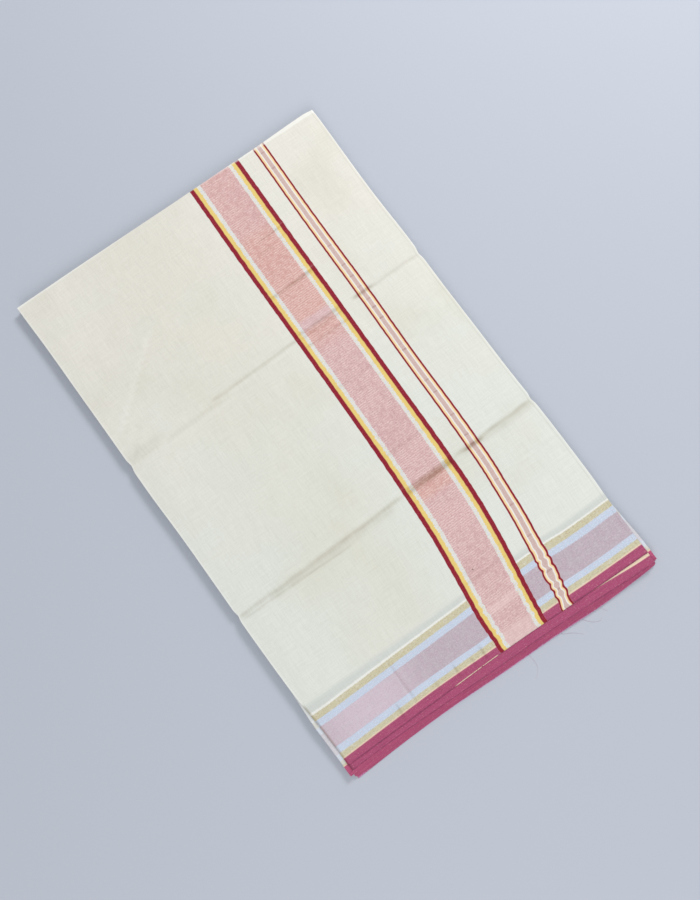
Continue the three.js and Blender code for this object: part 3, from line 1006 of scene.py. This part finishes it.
    def start_waves(self):
        """How the edges of the cross bands wave, most of all where they meet the border."""
        self.lumpy = 1 - self.ramp(self.edge, 32, 82)
        self.sway = self.noise(0.0, self.width * (1 / 22), 10.0, 1.0) * 16.0
        self.wave = self.math("SINE", self.width * (2 * math.pi / 11.5) + self.sway) * self.lumpy
        self.ripple = (self.noise(0.0, self.width * (1 / 7.5), 18.0, 1.0) - 0.5) * 1.2

    def wide_band(self):
        """Maroon, yellow and silver stripes on both sides of a rose ground."""
        inside = self.window(self.length, 102.4, 150.6, 0.8)
        jag = self.noise(self.length * (1 / 3), self.width * (1 / 1.5), 15.0, 2.0) - 0.5
        at = self.length + self.ripple + self.wave * (0.3 + 0.4 * inside)
        at = at + (jag * 3.2 + (self.speckle - 0.5) * 2.4) * inside
        band = self.stripes(at, 90, 162, 0.3, (
            (90, CREAM), (95.3, MAROON), (100.3, YELLOW), (104.4, SILVER_WHITE), (108.5, ROSE),
            (144.5, SILVER_WHITE), (148.7, YELLOW), (152.8, MAROON), (157.7, CREAM),
        ))
        self.in_wide = self.window(at, 95.5, 157.5, 0.3)
        in_maroon = self.window(at, 95.5, 100.2, 0.3) + self.window(at, 152.9, 157.5, 0.3)
        in_yellow = self.window(at, 100.2, 104.4, 0.4) + self.window(at, 148.7, 152.9, 0.4)
        self.in_white = self.window(at, 104.4, 108.5, 0.4) + self.window(at, 144.5, 148.7, 0.4)
        band = self.mix(in_yellow * self.ramp(self.grain, 0.5, 0.7) * 0.6, band, YELLOW_GREEN)
        band = self.mix(self.in_white * self.ramp(self.grain, 0.5, 0.68) * 0.6, band, SILVER)
        band = self.mix(in_maroon * self.ramp(self.speckle, 0.45, 0.75) * 0.12, band, ROSE)
        band = self.mix(self.in_white * self.ramp(self.speckle, 0.5, 0.62) * 0.6, band, SILVER)
        band = self.mix(self.in_white * self.ramp(self.speckle, 0.5, 0.38) * 0.5, band, YELLOW_GREEN)
        return self.mix(self.window(at, 108.5, 144.5, 0.4), band, self.rose())

    def rose(self):
        """The ribbed rose ground of the wide band, peachier in places."""
        width = self.width
        peachy = self.window(width, 360, 600, 16) + self.window(width, 166, 186, 6)
        peachy = peachy * (1 - self.ramp(width, 488, 506) * 0.55)
        rose = self.mix(peachy + (self.tone - 0.5) * 0.8, ROSE, ROSE_PEACH)
        ribs = self.math("SINE", width * (2 * math.pi / 2.3) + self.patch * 9.0) * 0.5 + 0.5
        ribs = ribs * self.ramp(self.patch + self.tone * 0.6, 0.62, 0.86)
        rose = self.mix(ribs * 0.5, rose, ROSE_BRIGHT)
        rose = self.mix(self.ramp(self.speckle, 0.5, 0.68) * 0.38, rose, ROSE_BRIGHT)
        rose = self.mix(self.ramp(self.speckle, 0.52, 0.32) * 0.5, rose, ROSE_DEEP)
        rose = self.mix((1 - self.ramp(self.edge, 13.0, 17.0)) * 0.5, rose, ROSE_END)
        rose = self.mix(self.window(width, 380, 391, 3) * 0.35, rose, MAUVE_BRIGHT)
        return self.mix(self.window(self.edge, 35, 42, 1.5) * 0.3, rose, ROSE_BRIGHT)

    def narrow_band(self):
        """Maroon, apricot and white on both sides of a beaded core."""
        other_wave = self.math("SINE", self.width * (2 * math.pi / 10.5) + self.sway + 2.0) * self.lumpy
        cut_side = self.ramp(self.length, 69.5, 71.5)
        wave = self.wave * (1 - cut_side) + other_wave * cut_side
        inside = self.window(self.length, 65.4, 75.6, 0.8)
        at = self.length + self.ripple * 0.6 + wave * (0.5 + 0.4 * inside)
        band = self.stripes(at, 60, 81, 0.2, (
            (60, CREAM), (63.3, MAROON), (65.3, APRICOT), (67.0, WHITE), (68.4, CORE),
            (72.7, WHITE), (74.0, APRICOT), (75.8, MAROON), (77.7, CREAM),
        ))
        self.in_narrow = self.window(at, 63.3, 77.7, 0.2)
        bead = self.ramp(self.noise(0.0, self.width * (1 / 5.0), 11.0, 1.0), 0.58, 0.70)
        in_centre = self.window(at, 68.0, 73.0, 0.5)
        band = self.mix(in_centre * (0.15 + bead * 0.55), band, BEAD)
        # painted glints in the narrow band's core
        return self.mix(in_centre * self.painted_glint * 0.3, band, ROSE_BRIGHT)

    def wear_and_painted_light(self, colour):
        """Thread by thread, then painted shade and highlight along the creases, a darker drawn thread by
        the cut end, painted highlight and shade at the folds, and two small stains.
        """
        thin = self.ramp(self.weft * 0.5 + self.warp * 0.5, 0.38, 0.62)
        colour = self.mix((1 - thin) * 0.14, colour, THREAD_SHADE, "MULTIPLY")
        colour = self.mix(self.ramp(self.speckle, 0.5, 0.3) * 0.09, colour, THREAD_SHADE, "MULTIPLY")
        colour = self.mix(self.ramp(self.slub, 0.6, 0.75) * 0.05, colour, SLUB_SHADE, "MULTIPLY")
        # painted shade along the creases, then painted highlight beside them
        colour = self.mix(self.painted_crease_shade * 5.8, colour, SHADE_AND_DRAWN_THREAD, "MULTIPLY")
        colour = self.mix(self.painted_crease_shade * -2.4, colour, CREASE_HIGHLIGHT)
        colour = self.mix(self.window(self.length, 2.4, 3.1, 0.2) * 0.22, colour, SHADE_AND_DRAWN_THREAD, "MULTIPLY")
        plain = self.ramp(self.edge, 66.0, 74.0)
        # painted highlight along the top panel's folds and cut end in the cream, and along every ply's
        # half fold
        fold_highlight = (1 - self.ramp(self.from_fold, 0.7, 2.2)) * (1 - self.under)
        edge_highlight = fold_highlight * plain + self.window(self.width, 575.0, 580.0, 1.2)
        colour = self.mix(edge_highlight * 0.45, colour, FOLD_HIGHLIGHT)
        # painted shade where the top panel's border rolls round the left fold
        left_fold_shade = 1 - self.ramp(self.from_fold, 0.8, 3.4)
        left_fold_shade = left_fold_shade * self.window(self.length, 300.0, 373.0, 1.0)
        colour = self.mix(left_fold_shade * (1 - plain) * 0.8, colour, SHADE_AND_DRAWN_THREAD, "MULTIPLY")
        place = self.node("ShaderNodeTexCoord", {}, {}, output=3)
        for x, y, size in STAINS:
            spot = ((x + SHIFT[0]) * MM, (y + SHIFT[1]) * MM, PACK_HEIGHT * MM)
            away = self.node(
                "ShaderNodeVectorMath", {"operation": "DISTANCE"}, {0: place, 1: spot}, output=1
            )
            uneven = away * 1000 + (self.patch - 0.5) * 2.0
            colour = self.mix((1 - self.ramp(uneven, size * 0.6, size * 1.5)) * 0.55, colour, STAIN)
        return colour

    def woven(self):
        """The relief of the weave, over the faint crumple of pressed cloth."""
        fine_weft = self.math("SINE", self.length * (2 * math.pi / THREAD_PITCH))
        fine_warp = self.math("SINE", self.width * (2 * math.pi / THREAD_PITCH))
        weave = fine_weft * fine_warp * 0.12 + self.weft * 0.3 + self.warp * 0.3 + self.slub * 0.35
        crumple = self.noise(self.length * (1 / 12), self.width * (1 / 15), 12.0, 3.0, 0.6)
        weave_bump = self.node("ShaderNodeBump", {}, {
            "Strength": 0.5, "Distance": 0.08 * MM, "Height": weave,
        })
        return self.node("ShaderNodeBump", {}, {
            "Strength": 0.6, "Distance": 0.9 * MM, "Height": crumple, "Normal": weave_bump,
        })

    def finished(self):
        self.start_waves()
        colour = self.selvedge(self.border(self.cream()))
        wide = self.wide_band()
        narrow = self.narrow_band()
        colour = self.mix(self.in_wide * (1 - self.other_edge), colour, wide)
        colour = self.mix(self.in_narrow * (1 - self.other_edge), colour, narrow)
        zari = (self.in_gold + self.in_silver) * (1 - self.in_wide) * (1 - self.in_narrow)
        shine = zari * 0.08 + self.in_white * 0.05
        return self.surface(
            Base_Color=self.wear_and_painted_light(colour), Roughness=0.78 - shine, Metallic=zari * 0.1,
            Normal=self.woven(), Sheen_Weight=0.12, Sheen_Roughness=0.5, Specular_IOR_Level=0.3,
        )


def thread_finish():
    finish = Finish("loose thread")
    place = finish.node("ShaderNodeTexCoord", {}, {}, output=3)
    twist = finish.node("ShaderNodeTexNoise", {}, {"Vector": place, "Scale": 900.0})
    colour = finish.mix(twist, THREAD_DARK, THREAD_PALE)
    bump = finish.node("ShaderNodeBump", {}, {
        "Strength": 0.6, "Distance": 0.05 * MM, "Height": twist,
    })
    return finish.surface(Base_Color=colour, Roughness=0.8, Normal=bump, Sheen_Weight=0.2)


cloth_finish = SareeFinish().finished()
for piece in (top_panel, second_ply, hidden_panels, underside_panel):
    piece.data.materials.append(cloth_finish)
thread_look = thread_finish()
for piece in threads:
    piece.data.materials.append(thread_look)

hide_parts("top_panel")
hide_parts("second_ply")
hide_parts("hidden_layers")
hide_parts("underside_panel")
for piece in (top_panel, second_ply, hidden_panels, underside_panel, *threads):
    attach(piece, "root")

# A pale floor and soft studio light, with the camera where the photo was taken
floor_mesh = bpy.data.meshes.new("floor")
ground = bmesh.new()
bmesh.ops.create_grid(ground, x_segments=1, y_segments=1, size=30.0)
ground.to_mesh(floor_mesh)
ground.free()
floor = bpy.data.objects.new("floor", floor_mesh)
bpy.context.collection.objects.link(floor)
floor_finish = Finish("pale floor")
floor_mesh.materials.append(
    floor_finish.surface(Base_Color=FLOOR_COLOUR, Roughness=0.9, Specular_IOR_Level=0.2)
)


def soft_light(name, place, size, power):
    lamp = bpy.data.lights.new(name, "AREA")
    lamp.shape = "DISK"
    lamp.size = size
    lamp.energy = power
    light = bpy.data.objects.new(name, lamp)
    light.location = place
    light.rotation_mode = "QUATERNION"
    light.rotation_quaternion = (Vector((0, 0, 0)) - Vector(place)).to_track_quat("-Z", "Y")
    bpy.context.collection.objects.link(light)


soft_light("window light", (1.45, 0.85, 1.2), 0.6, 26)
soft_light("fill light", (-0.7, -1.6, 1.3), 1.4, 17)

world = bpy.data.worlds.new("studio")
world.use_nodes = True
world.node_tree.nodes["Background"].inputs["Color"].default_value = (0.96, 0.98, 1.0, 1.0)
world.node_tree.nodes["Background"].inputs["Strength"].default_value = 0.57
bpy.context.scene.world = world
bpy.context.scene.view_settings.view_transform = "Standard"

# The camera, fitted to the photo's four corners: its place, and its turns about x, y and z
CAMERA_PLACE = (-25.06, -78.55, 721.4)
CAMERA_DEGREES = (4.921, 0.654, -35.995)
lens = bpy.data.cameras.new("camera")
lens.lens = 28
lens.sensor_width = 36
lens.clip_start = 0.01
camera = bpy.data.objects.new("camera", lens)
camera_turn = Euler([math.radians(angle) for angle in CAMERA_DEGREES])
camera.matrix_world = Matrix.LocRotScale(Vector(CAMERA_PLACE) * MM, camera_turn, None)
bpy.context.collection.objects.link(camera)
bpy.context.scene.camera = camera
